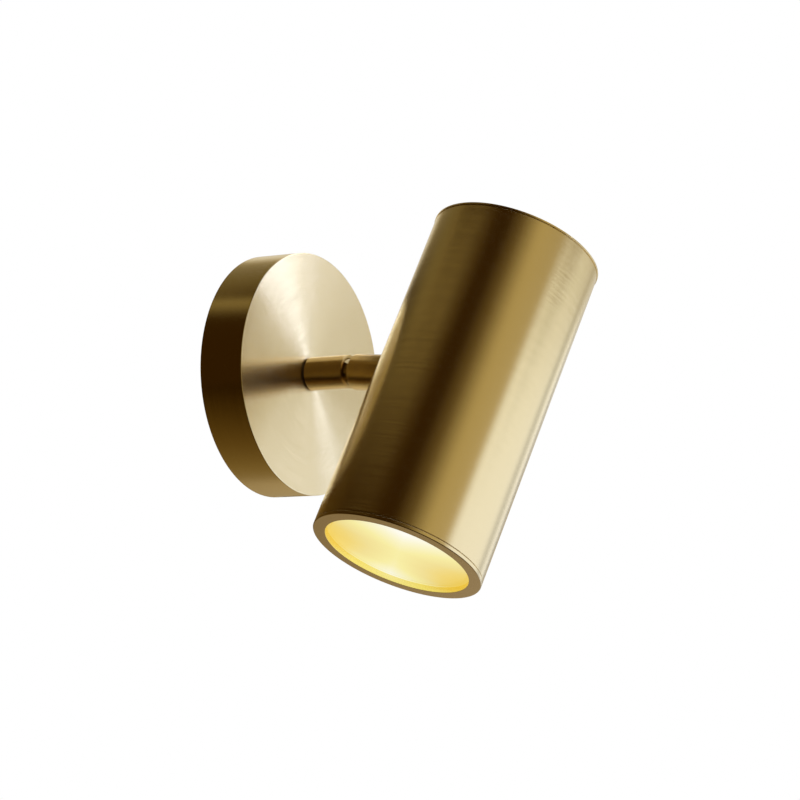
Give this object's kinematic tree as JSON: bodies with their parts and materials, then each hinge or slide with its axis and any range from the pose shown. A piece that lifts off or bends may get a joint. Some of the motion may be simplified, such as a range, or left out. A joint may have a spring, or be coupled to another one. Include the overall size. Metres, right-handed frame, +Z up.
{
  "type": "wall sconce",
  "caption": "Brushed brass wall sconce: a cylindrical spot head with a frosted, lit opening, held on a ball swivel by a round backplate.",
  "frame": {"origin": "centre of the backplate on its wall side, in the wall plane, midway between the bracket's two slots", "axes": "+Z up, -Y out of the wall into the room, +X to the right for someone facing the wall"},
  "size_m": [0.1482, 0.1701, 0.187],
  "materials": {
    "satin_brass": "satin, fine brushing round the turned surfaces, clear lacquer",
    "spun_brass": "pale champagne brass, spun in fine circles round its centre, clear lacquer",
    "polished_brass": "polished",
    "plain_brass": "machined, uncoated",
    "zinc_steel": "bright zinc plate",
    "green_steel": "green passivated",
    "nylon": "natural nylon",
    "fibre": "dark fibre washer",
    "ceramic": "white glaze",
    "brown_lead": "insulated wire",
    "blue_lead": "insulated wire",
    "earth_lead": "insulated wire, green and yellow",
    "lamp_metal": "plain",
    "lamp_plastic": "moulded",
    "lamp_diffuser": "frosted, lit",
    "silicone": "matt",
    "lit_glass": "frosted on the inside, lit warm"
  },
  "bodies": {
    "wall": {"wall_bracket": "zinc_steel", "backplate": "spun_brass", "plate_screws": "plain_brass", "earth_screw": "green_steel", "earth_washer": "plain_brass", "earth_tag": "lamp_metal", "earth_lead": "earth_lead", "plate_lead_live": "brown_lead", "plate_lead_neutral": "blue_lead", "terminal_block": "nylon", "terminal_barrels": "plain_brass", "clamp_screws": "zinc_steel", "block_screw": "zinc_steel", "threaded_tube": "plain_brass", "tube_bush": "nylon", "tube_nut": "plain_brass", "lock_washer": "zinc_steel", "seat_washer": "fibre", "swivel_socket": "satin_brass", "socket_plug": "plain_brass", "disc_springs": "zinc_steel"},
    "race": {"friction_cup": "nylon"},
    "arm": {"swivel_ball": "polished_brass", "arm_sleeve": "satin_brass", "friction_washer": "nylon", "arm_nut": "plain_brass", "arm_lead_live": "brown_lead", "arm_lead_neutral": "blue_lead"},
    "head": {"outer_saddle": "satin_brass", "inner_saddle": "zinc_steel", "head_tube": "satin_brass", "top_cap": "satin_brass", "lamp_bridge": "zinc_steel", "bridge_screws": "zinc_steel", "lampholder": "ceramic", "holder_screws": "zinc_steel", "holder_terminals": "plain_brass", "terminal_screws": "zinc_steel", "head_lead_live": "brown_lead", "head_lead_neutral": "blue_lead", "screw_shell": "plain_brass", "centre_contact": "plain_brass", "lamp_cap": "lamp_metal", "lamp_body": "lamp_plastic", "lamp_globe": "lamp_diffuser", "lens_gasket": "silicone", "lens_clip": "zinc_steel", "frosted_glass": "lit_glass", "bezel_ring": "satin_brass"}
  },
  "joints": [
    {"name": "arm_swivel", "type": "hinge", "parent": "wall", "child": "race", "pos_m": [0, -0.0436, 0], "axis": [0, -1, 0], "range_deg": [-170, 170]},
    {"name": "ball_tilt", "type": "hinge", "parent": "race", "child": "arm", "pos_m": [0, -0.0436, 0], "axis": [0.5906, 0, -0.807], "range_deg": [-43.9, 26.1]},
    {"name": "head_spin", "type": "hinge", "parent": "arm", "child": "head", "pos_m": [0, -0.0436, 0], "axis": [-0.1248, -0.988, -0.0914], "range_deg": [-170, 170]}
  ]
}
